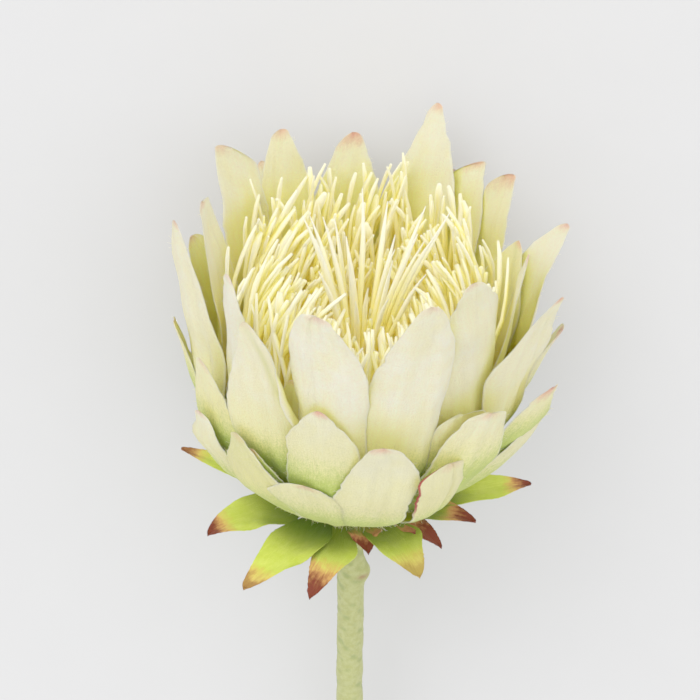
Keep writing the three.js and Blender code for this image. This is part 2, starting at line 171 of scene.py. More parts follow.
# Leaves arch out from under the bloom, through arch and shoulder to the tip. shoulder is a part of
# the tip's radius and a height. The rows have the same columns.
COLLAR = {
    "root": (9, -4), "arch": (28, -1), "shoulder": (0.72, 1), "peak": 0.5, "base": 0.32, "tip": 0.1,
    "rows": [
        (165, 168, 63, 2, 13), (148, 146, 68, -2, 13), (210, 202, 56, -3, 20),
        (236, 239, 62, -6, 18), (256, 262, 50, -11, 15), (282, 282, 31, -4, 12),
        (302, 302, 46, -6, 20), (323, 324, 40, -5, 11), (346, 344, 46, -2, 14), (10, 4, 66, 0, 18),
        (38, 36, 64, -2, 14), (66, 66, 36, -16, 14), (93, 93, 30, -18, 15),
        (121, 121, 36, -16, 14),
    ],
}
COLLAR["own"] = {
    210: {"blush": 1.0}, 236: {"blush": 0.7}, 256: {"blush": 1.0, "deep": 1.3},
    282: {"blush": 1.0, "deep": 1.3}, 302: {"blush": 0.5}, 323: {"blush": 1.0, "deep": 2.2},
    346: {"blush": 1.0, "deep": 1.3}, 10: {"blush": 1.0},
}


def clamp(x):
    return np.clip(x, 0.0, 1.0)


def smooth(x):
    x = clamp(x)
    return x * x * (3 - 2 * x)


def unit(v):
    """Vectors made one long."""
    return v / np.maximum(np.linalg.norm(v, axis=-1, keepdims=True), 1e-9)


def ripple(x, seed, low=1.0, high=4.0, count=4):
    """An uneven smooth line of about -1 to 1: a few sines, low to high turns per unit of x."""
    rng = np.random.default_rng(seed)
    total = 0.0
    for turns, phase, size in zip(rng.uniform(low, high, count), rng.uniform(0, TAU, count),
                                  rng.uniform(0.5, 1.0, count)):
        total = total + size * np.sin(TAU * turns * x + phase)
    return total / math.sqrt(count)


def swell(x, y, seed, size, count=7):
    """An uneven smooth surface of about -1 to 1, its hills about size apart."""
    rng = np.random.default_rng(seed)
    total = 0.0
    for heading, phase, stretch in zip(rng.uniform(0, TAU, count), rng.uniform(0, TAU, count),
                                       rng.uniform(0.7, 1.5, count)):
        way = (x * math.cos(heading) + y * math.sin(heading)) * stretch / size
        total = total + np.sin(TAU * way / 1.6 + phase)
    return total / math.sqrt(count)


def colour(red, green, blue):
    """Linear colour from screen values of 0 to 255."""
    return tuple(((c / 255 + 0.055) / 1.055) ** 2.4 if c > 10 else c / 3294.6
                 for c in (red, green, blue)) + (1.0,)


def volume(points, quads):
    """Six times the space inside closed skins, negative where their faces point in."""
    a, b, c, d = (points[quads[:, k]] for k in range(4))
    return np.sum(a * np.cross(b, c)) + np.sum(a * np.cross(c, d))


# Parts of its cell of the map: what a skin fills, its place in the cell, and the end strips'.
CELL_PART, CELL_LEFT, CELL_LOW = 0.88, 0.06, 0.04
STRIP_TALL, STRIP_LOW, STRIP_HIGH = 0.015, -0.02, 0.92


class Skin:
    """Gathers the closed skins of one piece: points, faces, map corners and point values."""

    def __init__(self):
        self.points, self.faces, self.corners, self.values = [], [], [], {}
        self.count = 0

    def add(self, points, values, area, across=1, ring=False):
        """points is skins x rows x loop x 3: loops of an even number of points, closed at both
        ends, or joined end to end as a ring. area is the part of the map that they fill."""
        skins, rows, loop, _ = points.shape
        base = self.count + np.arange(skins)[:, None, None] * rows * loop
        steps = rows if ring else rows - 1
        i, j = np.arange(steps)[:, None], np.arange(loop)[None, :]
        k, m = (i + 1) % rows, (j + 1) % loop
        side = np.stack([i * loop + j, i * loop + m, k * loop + m, k * loop + j], -1)
        down = -(-skins // across)
        left, low, right, high = area
        wide, tall = (right - left) / across, (high - low) / down
        number = np.arange(skins)
        x0 = left + (number % across + CELL_LEFT) * wide
        y0 = low + (number // across + CELL_LOW) * tall
        u = np.stack([j, j + 1, j + 1, j], -1) / loop * CELL_PART * wide + 0 * i[..., None]
        v = np.stack([i, i, i + 1, i + 1], -1) / steps * CELL_PART * tall + 0 * j[..., None]
        faces = [(base[..., None] + side).reshape(-1, 4)]
        x1, y1 = x0[:, None, None, None], y0[:, None, None, None]
        corners = [np.stack([x1 + u, y1 + v], -1).reshape(-1, 2)]
        if not ring:
            p = np.arange(loop // 2 - 1)
            for row, turned in ((0, True), (rows - 1, False)):
                strip = np.stack([p, p + 1, loop - 2 - p, loop - 1 - p], -1) + row * loop
                strip = strip[:, ::-1] if turned else strip
                faces.append((base + strip[None]).reshape(-1, 4))
                edge = STRIP_HIGH if row else STRIP_LOW
                su = np.stack([p, p + 1, p + 1, p], -1) * 2 / loop * CELL_PART * wide
                sv = (edge + STRIP_TALL * np.array([0, 0, 1, 1])) * tall + 0 * su
                if turned:
                    su, sv = su[:, ::-1], sv[:, ::-1]
                places = np.stack([x0[:, None, None] + su, y0[:, None, None] + sv], -1)
                corners.append(places.reshape(-1, 2))
        inward = volume(points.reshape(-1, 3), np.concatenate(faces) - self.count) < 0
        for quads, places in zip(faces, corners):
            self.faces.append(quads[:, ::-1] if inward else quads)
            places = places.reshape(-1, 4, 2)
            self.corners.append((places[:, ::-1] if inward else places).reshape(-1, 2))
        self.points.append(points.reshape(-1, 3))
        for name, value in values.items():
            vector = name == "cloth"
            value = np.broadcast_to(value, points.shape if vector else points.shape[:3])
            value = value.reshape((-1, 3) if vector else -1)
            self.values.setdefault(name, []).append(value)
        self.count += skins * rows * loop

    def piece(self, name, material, nodes, matrix):
        """Makes the mesh, laid down by the matrix, and hides the solids that it stands for."""
        points = np.concatenate(self.points)
        laid = points @ np.array(matrix.to_3x3()).T + np.array(matrix.translation)
        # What would reach under the surface is pressed flat on it.
        low = laid[:, 2] < REST
        laid[low, 2] = REST - (REST - laid[low, 2]) * PRESSED
        mesh = bpy.data.meshes.new(name)
        mesh.from_pydata((laid * MM).tolist(), [], np.concatenate(self.faces).tolist())
        mesh.polygons.foreach_set("use_smooth", [True] * len(mesh.polygons))
        uv = mesh.uv_layers.new(name="OFBake")
        uv.uv.foreach_set("vector", np.concatenate(self.corners).ravel())
        for key, parts in self.values.items():
            value = np.concatenate(parts)
            vector = value.ndim == 2
            made = mesh.attributes.new(key, "FLOAT_VECTOR" if vector else "FLOAT", "POINT")
            made.data.foreach_set("vector" if vector else "value", value.ravel())
        mesh.update()
        made = bpy.data.objects.new(name, mesh)
        scene.collection.objects.link(made)
        mesh.materials.append(material)
        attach(made, "root")
        if nodes:
            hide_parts(*nodes)
        return made


REST = 0.25  # height over the surface of what lies on it
PRESSED = 0.04  # part that stays of a depth under it
lay = Matrix.Translation(LAY_PLACE)
for turn, axis in zip(LAY_TURN_DEG, "XYZ"):
    lay = lay @ Matrix.Rotation(math.radians(turn), 4, axis)
bloom = lay @ Matrix.Rotation(math.radians(HEAD_LEAN_DEG), 4, "Y")


def half_width(t, s, width, look):
    """Narrow root, widest at the peak, then falling to a blunt tip; skew moves the peak of the
    side s > 0 towards the tip and that of the other side away from it."""
    peak = look["peak"] + look["skew"] * np.sign(s)
    rise = look["base"] + (1 - look["base"]) * smooth(t / peak)
    x = clamp((t - peak) / (1 - peak))
    fall = look["end"] + (1 - look["end"]) * (1 - x ** look["taper"])
    return width / 2 * rise * fall


def rolled_edge(t, look):
    """Side of the rolled edge, and how wide the rolled strip is."""
    side, size, where = look["roll"]
    return side, size * np.exp(-(((t - where) / 0.24) ** 2))


def spine(t, layer, row):
    """Radius and height of the middle line, and its length."""
    _, _, reach, top, _ = row
    r0, h0 = layer["root"]
    if layer is COLLAR:
        shoulder = (layer["shoulder"][0] * reach, layer["shoulder"][1])
        line = (layer["root"], layer["arch"], shoulder, (reach, top))
        weights = ((1 - t) ** 3, 3 * t * (1 - t) ** 2, 3 * t * t * (1 - t), t**3)
        r, h = (sum(w * p[k] for w, p in zip(weights, line)) for k in (0, 1))
        return r, h, reach - r0
    width = layer["belly"] - r0
    arc = TAU / 4 * math.hypot(width, layer["rise"]) * math.sqrt(0.5)
    length = arc + top - h0 - layer["rise"]
    way = t * length
    turn = TAU / 4 * np.minimum(1, way / arc)
    opened = t ** layer.get("open", {}).get(row[0], 2.6)
    r = r0 + width * np.sin(turn) + (reach - layer["belly"]) * opened
    h = h0 + layer["rise"] * (1 - np.cos(turn)) ** BOWL_POWER + np.maximum(0, way - arc)
    return r, h, length


def surface(t, s, layer, row, look):
    """Points of the middle surface of a petal or leaf, s from -1 at one edge to 1 at the other."""
    seed = look["seed"]
    _, _, length = spine(t, layer, row)
    azimuth = np.radians(row[1] + (row[0] - row[1]) * t**2)
    end = np.minimum((1 - t) * length / look["blunt"], 1)
    uneven = np.where(s > 0, ripple(t, seed + 1, 0.8, 3), ripple(t, seed + 2, 0.8, 3))
    ragged = np.where(s > 0, ripple(t, seed + 3, 8, 26, 7), ripple(t, seed + 4, 8, 26, 7))
    nicks = sum(depth * np.exp(-(((t - place) / 0.011) ** 2)) * (side * s > 0)
                for side, place, depth in look["nicks"])
    half = half_width(t, s, row[4], look)
    full = half / (row[4] / 2)
    half = half * (1 + look["uneven"] * uneven) + look["ragged"] * ragged * smooth(t / 0.3) - nicks
    half = half * np.sqrt(1 - (1 - end) ** 2) + 0.15
    # The last millimetres of one side turn outward round an arc.
    side, roll = rolled_edge(t, look)
    roll = roll * full
    turned_by = np.maximum(side * s * half - (half - roll), 0) / ROLL_RADIUS
    over = side * (half - roll + ROLL_RADIUS * np.sin(turned_by))
    across = np.where(turned_by > 0, over, s * half)
    lip = ROLL_RADIUS * (1 - np.cos(turned_by))
    r, h, _ = spine(t + look["slant"] * across * t**4 / length, layer, row)
    a = azimuth + (across + look["sway"] * smooth((t - 0.5) / 0.5) ** 2) / np.maximum(r, 8)
    # Bends across the petal follow its width, so that a narrow tip stays nearly flat.
    out = s * full
    wave = np.sin(5 * t + 2.1 * look["number"]) * 0.35 * out * out * smooth(t / 0.4)
    frill = look["frill"] * ripple(t + 0.2 * s, seed + 5, 1.2, 3.5)
    frill = frill * out * out * smooth((t - 0.35) / 0.4)
    folds = sum(depth * np.exp(-(((s - place - 0.12 * np.sin(4 * t + turn)) / 0.14) ** 2))
                for depth, place, turn in look["folds"]) * smooth(t / 0.3) * full
    buckle = look["buckle"] * swell(across, t * length, seed + 6, 16) * smooth(t / 0.4)
    if layer is COLLAR:
        ridge = (1 - np.abs(s)) * smooth(t / 0.5)
        height = h + 2 * wave - 1.1 * ridge + frill + folds + buckle
        return np.stack([r * np.cos(a), r * np.sin(a), height], -1)
    lap = 1.3 * out * smooth(t / 0.35) * (1 - 0.5 * t)
    lap = lap + look["twist"] * across * smooth((t - 0.2) / 0.5)
    cup = (0.8 * t + look["cup"] * smooth(t / 0.4)) * out * out
    flare = look["flare"] * clamp((t - 0.8) / 0.2) ** 2
    rr = r + 0.8 * t + wave + lap - cup + frill + folds + buckle + lip + flare
    return np.stack([rr * np.cos(a), rr * np.sin(a), h + 0 * s], -1)


ROWS_ALONG, TIP_ROWS, POINTS_ACROSS = 46, 12, 26
TIP_LENGTH = 4.0  # covered by TIP_ROWS


def blade(layer, row, look, thickness):
    """Closed skin of a petal or leaf: loops that run across its front and back over its back."""
    _, _, length = spine(np.array([0.0]), layer, row)
    start = 1 - TIP_LENGTH / length
    t = np.concatenate([np.linspace(0, start, ROWS_ALONG),
                        start + (1 - start) * np.sin(np.linspace(0, TAU / 4, TIP_ROWS + 1)[1:])])
    s = np.sin(np.linspace(-1, 1, POINTS_ACROSS) * TAU / 4 * 0.82) / math.sin(TAU / 4 * 0.82)
    s = np.concatenate([s, s[::-1]])
    side = np.repeat([1.0, -1.0], POINTS_ACROSS)
    t, s = t[:, None], s[None, :]
    e = 1e-3
    t0, t1 = np.maximum(t - e, 0), np.minimum(t + e, 1 - 1e-4)
    middle = surface(t, s, layer, row, look)
    along = surface(t1, s, layer, row, look) - surface(t0, s, layer, row, look)
    wide = surface(t, s + e, layer, row, look) - surface(t, s - e, layer, row, look)
    normal = unit(np.cross(along, wide))
    end = np.minimum((1 - t) * length / look["blunt"], 1)
    edge = np.sqrt(1 - 0.9 * np.abs(s) ** 5) * np.sqrt(1 - 0.9 * (1 - end) ** 2)
    half = thickness / 2 * edge * (1 - 0.35 * smooth((t - 0.6) / 0.4))
    points = middle + normal * (side * half)[..., None]
    h = middle[..., 2]
    to_edge = half_width(t, s, row[4], look)
    across = s * to_edge
    to_tip = np.hypot((1 - t) * length, 0.5 * (across - look["blush_side"] * 2.5))
    inner = smooth(0.5 - side[None, :] * normal_outward(middle, normal, layer))
    red = look["red_edge"] * (s < 0) * smooth((t - 0.62) / 0.15)
    # Painted shade: the cloth is darker in the groove beside a rolled edge.
    roll_side, bent = rolled_edge(t, look)
    painted_groove_shade = np.exp(-(((roll_side * across - to_edge + bent) / 1.6) ** 2)) * clamp(bent / 5) ** 2
    layer_of_cloth = look["seed"] * 3.7 + side[None, :] * 2
    values = {
        "red": red + 0 * h, "shade": look["shade"] + 0.9 * painted_groove_shade + 0 * h,
        "cloth": np.stack([across + 0 * t, t * length + 0 * s, layer_of_cloth + 0 * t], -1),
        "inside": inner, "rim": smooth(1 - (1 - np.abs(s)) / 0.07) + 0 * t,
        "tip": to_tip / look["deep"] + 0 * s, "height": h, "tone": look["tone"] + 0 * h,
        "blush": look["blush"] + 0 * h,
    }
    return points, values


def normal_outward(middle, normal, layer):
    """Whether the side that the normal points to is the outside of the bloom, -1 to 1."""
    if layer is COLLAR:
        return -normal[..., 2]
    return np.sum(normal * unit(middle * (1, 1, 0)), -1) - 0.3 * normal[..., 2]


def hub(layer, reach):
    """Closed ring of a layer that its petals grow from."""
    r0, h0 = layer["root"]
    top = h0 + HUB_PITCH - HUB_HALF - GAP
    r, h, _ = spine(np.array([0, reach / 2, reach]), layer, layer["rows"][0])
    inner = PIN_RADIUS + GAP
    profile = [(inner, h0 - HUB_HALF), *zip(r, h - HUB_HALF), *zip(r[::-1], h[::-1] + HUB_HALF),
               (r0 - 1, top), (inner, top)]
    return turned(profile + [(inner, (h0 + top) / 2)], HUB_SIDES)


def turned(profile, count):
    """A ring section turned about the axis, as one skin."""
    r, h = np.array(profile, float).T
    a = np.linspace(0, TAU, count, endpoint=False)[:, None]
    return np.stack([r * np.cos(a), r * np.sin(a), h + 0 * a], -1)[None]


def petal_look(number, seed, layer, row):
    """Shape and colour of one petal: seeded, but for the values that are its own."""
    rng = np.random.default_rng(seed)
    near = rng.uniform
    look = {
        "number": number, "seed": seed, "uneven": 0.1, "ragged": 0.26, "blunt": near(1.6, 3.0),
        "peak": layer["peak"] + near(-0.04, 0.1), "taper": near(1.2, 2.2), "end": layer["tip"],
        "base": layer["base"], "slant": near(-0.12, 0.12), "twist": near(-0.08, 0.08),
        "shade": 0.0, "red_edge": 0.0, "deep": 1.0, "skew": near(-0.07, 0.07),
        "blush_side": rng.choice((-1, 1)) * 0.6, "sway": near(-1.2, 1.2),
        "frill": near(0.6, 1.3), "buckle": near(0.3, 0.5), "cup": near(0.6, 1.2),
        "roll": (rng.choice((-1, 1)), rng.choice((0, 0.8, 1.6)), near(0.6, 0.85)),
        "flare": near(-0.4, 0.9), "tone": near(-1, 1), "blush": near(0.45, 1.0),
        "folds": [(near(-0.9, 0.6), near(-0.6, 0.6), near(0, TAU)) for _ in range(4)],
        "nicks": [(rng.choice((-1, 1)), near(0.35, 0.95), near(-0.6, 1.1)) for _ in range(8)],
    }
    look.update(layer["own"].get(row[0], {}))
    return look


def leaf_look(number, seed, row):
    """Shape and colour of one leaf: smooth-edged, with a fold along each half."""
    look = petal_look(number, seed, COLLAR, row)
    look.update(peak=COLLAR["peak"], taper=1.7, slant=0, blunt=1.6, end=0.1, ragged=0.12, frill=0.9,
                buckle=0.35, cup=0, sway=look["sway"] * 1.5, skew=0, nicks=[],
                folds=[(0.2, place, 0.4) for place in (-0.55, 0.55)])
    return look


class Shader:
    """A material and short calls that put nodes into it."""

    def __init__(self, name, **inputs):
        self.material = bpy.data.materials.new(name)
        self.material.use_nodes = True
        self.tree = self.material.node_tree
        self.main = self.tree.nodes["Principled BSDF"]
        for key, value in inputs.items():
            self.main.inputs[key.replace("_", " ")].default_value = value

    def put(self, socket, value):
        if isinstance(value, bpy.types.NodeSocket):
            self.tree.links.new(value, socket)
        elif value is not None:
            socket.default_value = value

    def value(self, name, output="Fac"):
        node = self.tree.nodes.new("ShaderNodeAttribute")
        node.attribute_name = name
        return node.outputs[output]

    def math(self, operation, a, b=None, c=None):
        node = self.tree.nodes.new("ShaderNodeMath")
        node.operation = operation
        for socket, item in zip(node.inputs, (a, b, c)):
            self.put(socket, item)
        return node.outputs[0]

    def times(self, a, b):
        return self.math("MULTIPLY", a, b)

    def plus(self, a, b):
        return self.math("ADD", a, b)

    def scaled(self, a, b, c):
        """a times b, and c added to that."""
        return self.math("MULTIPLY_ADD", a, b, c)

    def ramp(self, value, low, high, start=0.0, end=1.0):
        node = self.tree.nodes.new("ShaderNodeMapRange")
        node.interpolation_type = "SMOOTHSTEP"
        for socket, item in zip(node.inputs, (value, low, high, start, end)):
            self.put(socket, item)
        return node.outputs[0]

    def stretch(self, vector, x, y, z):
        node = self.tree.nodes.new("ShaderNodeVectorMath")
        node.operation = "MULTIPLY"
        self.put(node.inputs[0], vector)
        node.inputs[1].default_value = (x, y, z)
        return node.outputs[0]

    def noise(self, vector, scale, detail=3.0, roughness=0.6):
        node = self.tree.nodes.new("ShaderNodeTexNoise")
        self.put(node.inputs["Vector"], vector)
        node.inputs["Scale"].default_value = scale
        node.inputs["Detail"].default_value = detail
        node.inputs["Roughness"].default_value = roughness
        return node.outputs["Fac"]

    def mix(self, factor, a, b, blend="MIX"):
        node = self.tree.nodes.new("ShaderNodeMix")
        node.data_type, node.blend_type = "RGBA", blend
        self.put(node.inputs[0], factor)
        self.put(node.inputs[6], a)
        self.put(node.inputs[7], b)
        return node.outputs[2]

    def tint(self, base, part, mask, over):
        """The base with part of another colour over it, by a mask of 0 to 1."""
        return self.mix(self.times(mask, part), base, over)

    def bump(self, height, depth, below=None):
        node = self.tree.nodes.new("ShaderNodeBump")
        node.inputs["Distance"].default_value = depth
        self.put(node.inputs["Height"], height)
        if below is not None:
            self.put(node.inputs["Normal"], below)
        return node.outputs[0]

    def painted_crease_shade(self, distance, dark, light):
        """Mask for painted shade: 1 deep in creases between neighbours, 0 in the open."""
        node = self.tree.nodes.new("ShaderNodeAmbientOcclusion")
        node.samples = 6
        node.inputs["Distance"].default_value = distance * MM
        return self.ramp(node.outputs["AO"], light, dark)

    def finish(self, base, roughness=None, normal=None):
        self.put(self.main.inputs["Base Color"], base)
        if roughness is not None:
            self.put(self.main.inputs["Roughness"], roughness)
        if normal is not None:
            self.put(self.main.inputs["Normal"], normal)
        return self.material


# What the cloth of petals and threads shares.
SOFT = {"Sheen_Roughness": 0.5, "Sheen_Tint": colour(250, 244, 205),
        "Subsurface_Radius": (1.0, 0.9, 0.5), "Specular_IOR_Level": 0.25}
INSIDE_YELLOW_AND_BOUNCE = colour(250, 237, 160)
PAINTED_SHADE_GOLD = colour(255, 245, 96)
MUSTARD = colour(253, 240, 92)
LEAF_GREEN = colour(158, 192, 40)
PINK = colour(228, 128, 112)
PAINTED_RIM_HIGHLIGHT = colour(252, 248, 220)
RUST = colour(96, 30, 14)
CRIMSON = colour(150, 0, 12)


def petal_material(name, fade):
    """Flocked cloth: cream, green at the base, yellow inside, pink at the tip, with painted shade
    in creases and a painted highlight on the edges.
    """
    m = Shader(name, Sheen_Weight=0.2, Subsurface_Weight=0.4, Subsurface_Scale=0.0022, **SOFT)
    cloth = m.value("cloth", "Vector")
    nap = m.noise(cloth, 1.5, 5.0, 0.8)
    fibre = m.noise(m.stretch(cloth, 1.6, 0.35, 1.0), 1.0, 4.0, 0.7)
    mottle = m.noise(cloth, 0.14, 2.0)
    streak = m.noise(m.stretch(cloth, 0.36, 0.03, 1.0), 1.0, 2.0)
    loose = m.scaled(m.plus(nap, fibre), 14.0, -14.0)
    tone = m.ramp(m.scaled(m.value("tone"), 0.25, mottle), 0.2, 0.8)
    base = m.mix(tone, colour(250, 236, 180), colour(255, 244, 208))
    # Inner faces yellower: partly the cloth's own colour, partly painted bounce light.
    base = m.tint(base, 0.25, m.value("inside"), INSIDE_YELLOW_AND_BOUNCE)
    # Painted shade: creases between the petals turn a saturated yellow.
    painted_crease_shade = m.painted_crease_shade(16, 0.4, 0.98)
    base = m.tint(base, 0.9, painted_crease_shade, PAINTED_SHADE_GOLD)
    # shade makes some petals' cloth darker and carries the painted shade of the groove beside a
    # rolled edge.
    dim = m.times(m.value("shade"), m.ramp(nap, 0.25, 0.75, 0.5, 1.0))
    base = m.mix(dim, base, colour(196, 196, 108))
    level = m.plus(m.value("height"), loose)
    yellow = m.ramp(level, fade + 24, fade - 4)
    base = m.tint(base, 0.6, yellow, colour(250, 236, 128))
    outside = m.scaled(m.value("inside"), -0.7, 1.0)
    green = m.times(m.ramp(level, fade + 2, fade - 14), outside)
    base = m.tint(base, 0.85, green, m.mix(mottle, LEAF_GREEN, colour(206, 218, 84)))
    # Deeper green low on the petals: the base's own green, made stronger in creases as painted
    # shade.
    deep = m.times(m.ramp(level, fade - 4, fade - 16), green)
    deep = m.times(deep, m.scaled(painted_crease_shade, 0.5, 0.35))
    base = m.mix(deep, base, colour(140, 176, 14))
    ragged = m.scaled(mottle, 4.0, m.times(loose, 0.12))
    spread = m.plus(m.value("tip"), ragged)
    pink = m.times(m.ramp(spread, 6.0, 1.5), m.value("blush"))
    base = m.mix(pink, base, PINK)
    # Painted highlight: the edges of the petals are lighter.
    base = m.tint(base, 0.5, m.value("rim"), PAINTED_RIM_HIGHLIGHT)
    red = m.times(m.ramp(m.value("rim"), 0.0, 0.4), m.value("red"))
    base = m.mix(red, base, CRIMSON)
    grain = m.plus(m.scaled(nap, 0.52, 0.785),
                   m.scaled(fibre, 0.16, m.scaled(streak, 0.24, -0.19)))
    base = m.mix(1.0, base, grain, "MULTIPLY")
    normal = m.bump(nap, 0.0011, m.bump(fibre, 0.0008))
    return m.finish(base, m.ramp(nap, 0.2, 0.8, 0.8, 0.97), normal)


def leaf_material():
    """Green cloth with tan and rust-red tips, and painted shade: darker near the stem and in
    creases.
    """
    m = Shader("leaf_cloth", Sheen_Weight=0.02, Sheen_Roughness=0.5,
               Sheen_Tint=colour(235, 240, 200), Subsurface_Weight=0.12,
               Subsurface_Radius=(0.6, 1.0, 0.3), Subsurface_Scale=0.001, Specular_IOR_Level=0.12)
    cloth = m.value("cloth", "Vector")
    nap = m.noise(cloth, 2.8, 4.0, 0.7)
    fibre = m.noise(m.stretch(cloth, 1.3, 0.16, 1.0), 1.0, 4.0, 0.65)
    mottle = m.noise(cloth, 0.22, 3.0)
    base = m.mix(m.ramp(mottle, 0.2, 0.8), colour(176, 196, 36), colour(202, 214, 74))
    base = m.tint(base, 0.35, m.value("inside"), colour(196, 212, 60))
    base = m.tint(base, 0.5, m.ramp(fibre, 0.5, 0.8), colour(232, 238, 90))
    # Painted shade: darker green towards the stem, under the bloom, and in creases.
    base = m.tint(base, 0.75, m.ramp(m.value("tip"), 22.0, 40.0), colour(56, 88, 2))
    base = m.tint(base, 0.8, m.painted_crease_shade(16, 0.3, 0.95), colour(44, 74, 0))
    ragged = m.scaled(m.plus(fibre, mottle), 7.0, -7.0)
    spread = m.plus(m.value("tip"), ragged)
    tan = m.times(m.ramp(spread, 12.0, 5.0), m.value("blush"))
    base = m.tint(base, 0.85, tan, colour(222, 126, 74))
    rust = m.times(m.ramp(spread, 8.5, 3.0), m.value("blush"))
    base = m.mix(rust, base, RUST)
    base = m.mix(1.0, base, m.scaled(nap, 0.14, 0.93), "MULTIPLY")
    normal = m.bump(nap, 0.0002, m.bump(fibre, 0.0003))
    return m.finish(base, m.ramp(nap, 0.2, 0.8, 0.6, 0.85), normal)


def thread_material(name, low, middle, high):
    """Soft threads, from the colour of the root through the middle's to the tip's, with painted
    yellow shade in the creases between them.
    """
    m = Shader(name, Sheen_Weight=0.1, Subsurface_Weight=0.25, Subsurface_Scale=0.0012, **SOFT)
    cloth = m.value("cloth", "Vector")
    nap = m.noise(cloth, 3.0, 3.0, 0.7)
    streak = m.noise(m.stretch(cloth, 2.0, 0.2, 1.0), 1.0, 3.0)
    along = m.plus(m.value("along"), m.scaled(streak, 0.3, -0.15))
    base = m.mix(m.ramp(along, 0.15, 0.55), low, middle)
    base = m.mix(m.ramp(along, 0.5, 0.95), base, high)
    # Painted shade: creases between the threads turn a saturated yellow.
    base = m.tint(base, 0.85, m.painted_crease_shade(8, 0.3, 0.97), PAINTED_SHADE_GOLD)
    shade = m.scaled(m.value("tone"), 0.02, m.scaled(nap, 0.12, 0.95))
    base = m.mix(1.0, base, shade, "MULTIPLY")
    normal = m.bump(nap, 0.0002, m.bump(streak, 0.0002))
    return m.finish(base, m.ramp(nap, 0.2, 0.8, 0.7, 0.95), normal)


def stem_material():
    """Dull sage skin with darker dents, a brown scar and a pale cut end."""
    m = Shader("stem_skin", Sheen_Weight=0.1, Sheen_Roughness=0.5, Specular_IOR_Level=0.3)
    cloth = m.value("cloth", "Vector")
    nap = m.noise(cloth, 2.2, 4.0, 0.7)
    spots = m.noise(cloth, 0.45, 3.0, 0.65)
    base = m.mix(m.ramp(spots, 0.35, 0.65), colour(150, 154, 80), colour(164, 168, 98))
    base = m.tint(base, 0.6, m.value("dent"), colour(112, 130, 58))
    base = m.tint(base, 0.8, m.value("scar"), colour(120, 66, 40))
    base = m.mix(m.value("cut"), base, colour(216, 212, 168))
    base = m.mix(1.0, base, m.scaled(nap, 0.24, 0.88), "MULTIPLY")
    normal = m.bump(nap, 0.00025, m.bump(spots, 0.0003))
    return m.finish(base, m.ramp(nap, 0.2, 0.8, 0.62, 0.85), normal)


# Petals and leaves, one piece for each layer.
HUB_VALUES = {"red": 0, "shade": 0, "inside": 0, "rim": 0, "tip": 60, "height": 0, "tone": 0,
              "blush": 0}
PETAL_HUB_REACH, LEAF_HUB_REACH = 0.12, 0.1  # parts of the length that the hub covers


def rosette(name, layer, looks, thickness, reach, material, node):
    """One layer of petals or leaves with its hub, as one piece."""
    skin = Skin()
    shapes, inputs = zip(*(blade(layer, row, look, thickness)
                           for row, look in zip(layer["rows"], looks)))
    points = np.stack(shapes)
    values = {key: np.stack([each[key] for each in inputs]) for key in inputs[0]}
    skin.add(points, values, (0, 0, 1, 0.95), across=-(-len(shapes) // 2))
    ring = hub(layer, reach)
    skin.add(ring, {**HUB_VALUES, "cloth": ring}, (0, 0.955, 1, 1), ring=True)
    return skin.piece(name, material, [node], bloom)


petal_looks = {}
for order, (name, layer) in enumerate(LAYERS.items()):
    petal_looks[name] = [petal_look(k, 1000 * (order + 1) + 10 * k, layer, row)
                         for k, row in enumerate(layer["rows"])]
    rosette(f"petals_{name}", layer, petal_looks[name], PETAL_THICKNESS, PETAL_HUB_REACH,
            petal_material(f"{name}_petal_cloth", layer["green"]), f"bracts_{name}")

leaf_looks = [leaf_look(k, 7000 + 10 * k, row) for k, row in enumerate(COLLAR["rows"])]
rosette("collar_leaves", COLLAR, leaf_looks, LEAF_THICKNESS * FINE_LEAF, LEAF_HUB_REACH,
        leaf_material(), "leaf_collar")


# Threads of the head.
def turn_between(azimuth, other):
    """Degrees from one azimuth to another, -180 to 180."""
    return (azimuth - other + 540) % 360 - 180


def wall(azimuth, height):
    """Radius of the inner petals' wall at an azimuth and height: the nearer in of two petals."""
    layer = LAYERS["inner"]
    t = np.linspace(0, 1, 60)
    apart, radii = [], []
    for tip, root, reach, top, width in layer["rows"]:
        r, h, _ = spine(t, layer, (tip, root, reach, max(top, WALL_TOP), width))
        where = root + (tip - root) * np.interp(height, h, t) ** 2
        apart.append(np.abs(turn_between(azimuth, where)))
        radii.append(np.interp(height, h, r))
    order = np.argsort(apart, axis=0)[:2]
    return np.take_along_axis(np.array(radii), order, 0).min(0)


def polar(azimuth, r, h):
    """Points from azimuths in degrees, radii and heights."""
    a = np.radians(azimuth)
    return np.stack([r * np.cos(a), r * np.sin(a), h + 0 * a], -1)


def held_in(points, margin):
    """The points, brought in where they would pass through the petals."""
    r = np.linalg.norm(points[..., :2], axis=-1)
    limit = wall(np.degrees(np.arctan2(points[..., 1], points[..., 0])), points[..., 2]) - margin
    return points * np.stack([np.minimum(1, limit / np.maximum(r, 1))] * 2 + [np.ones(r.shape)], -1)


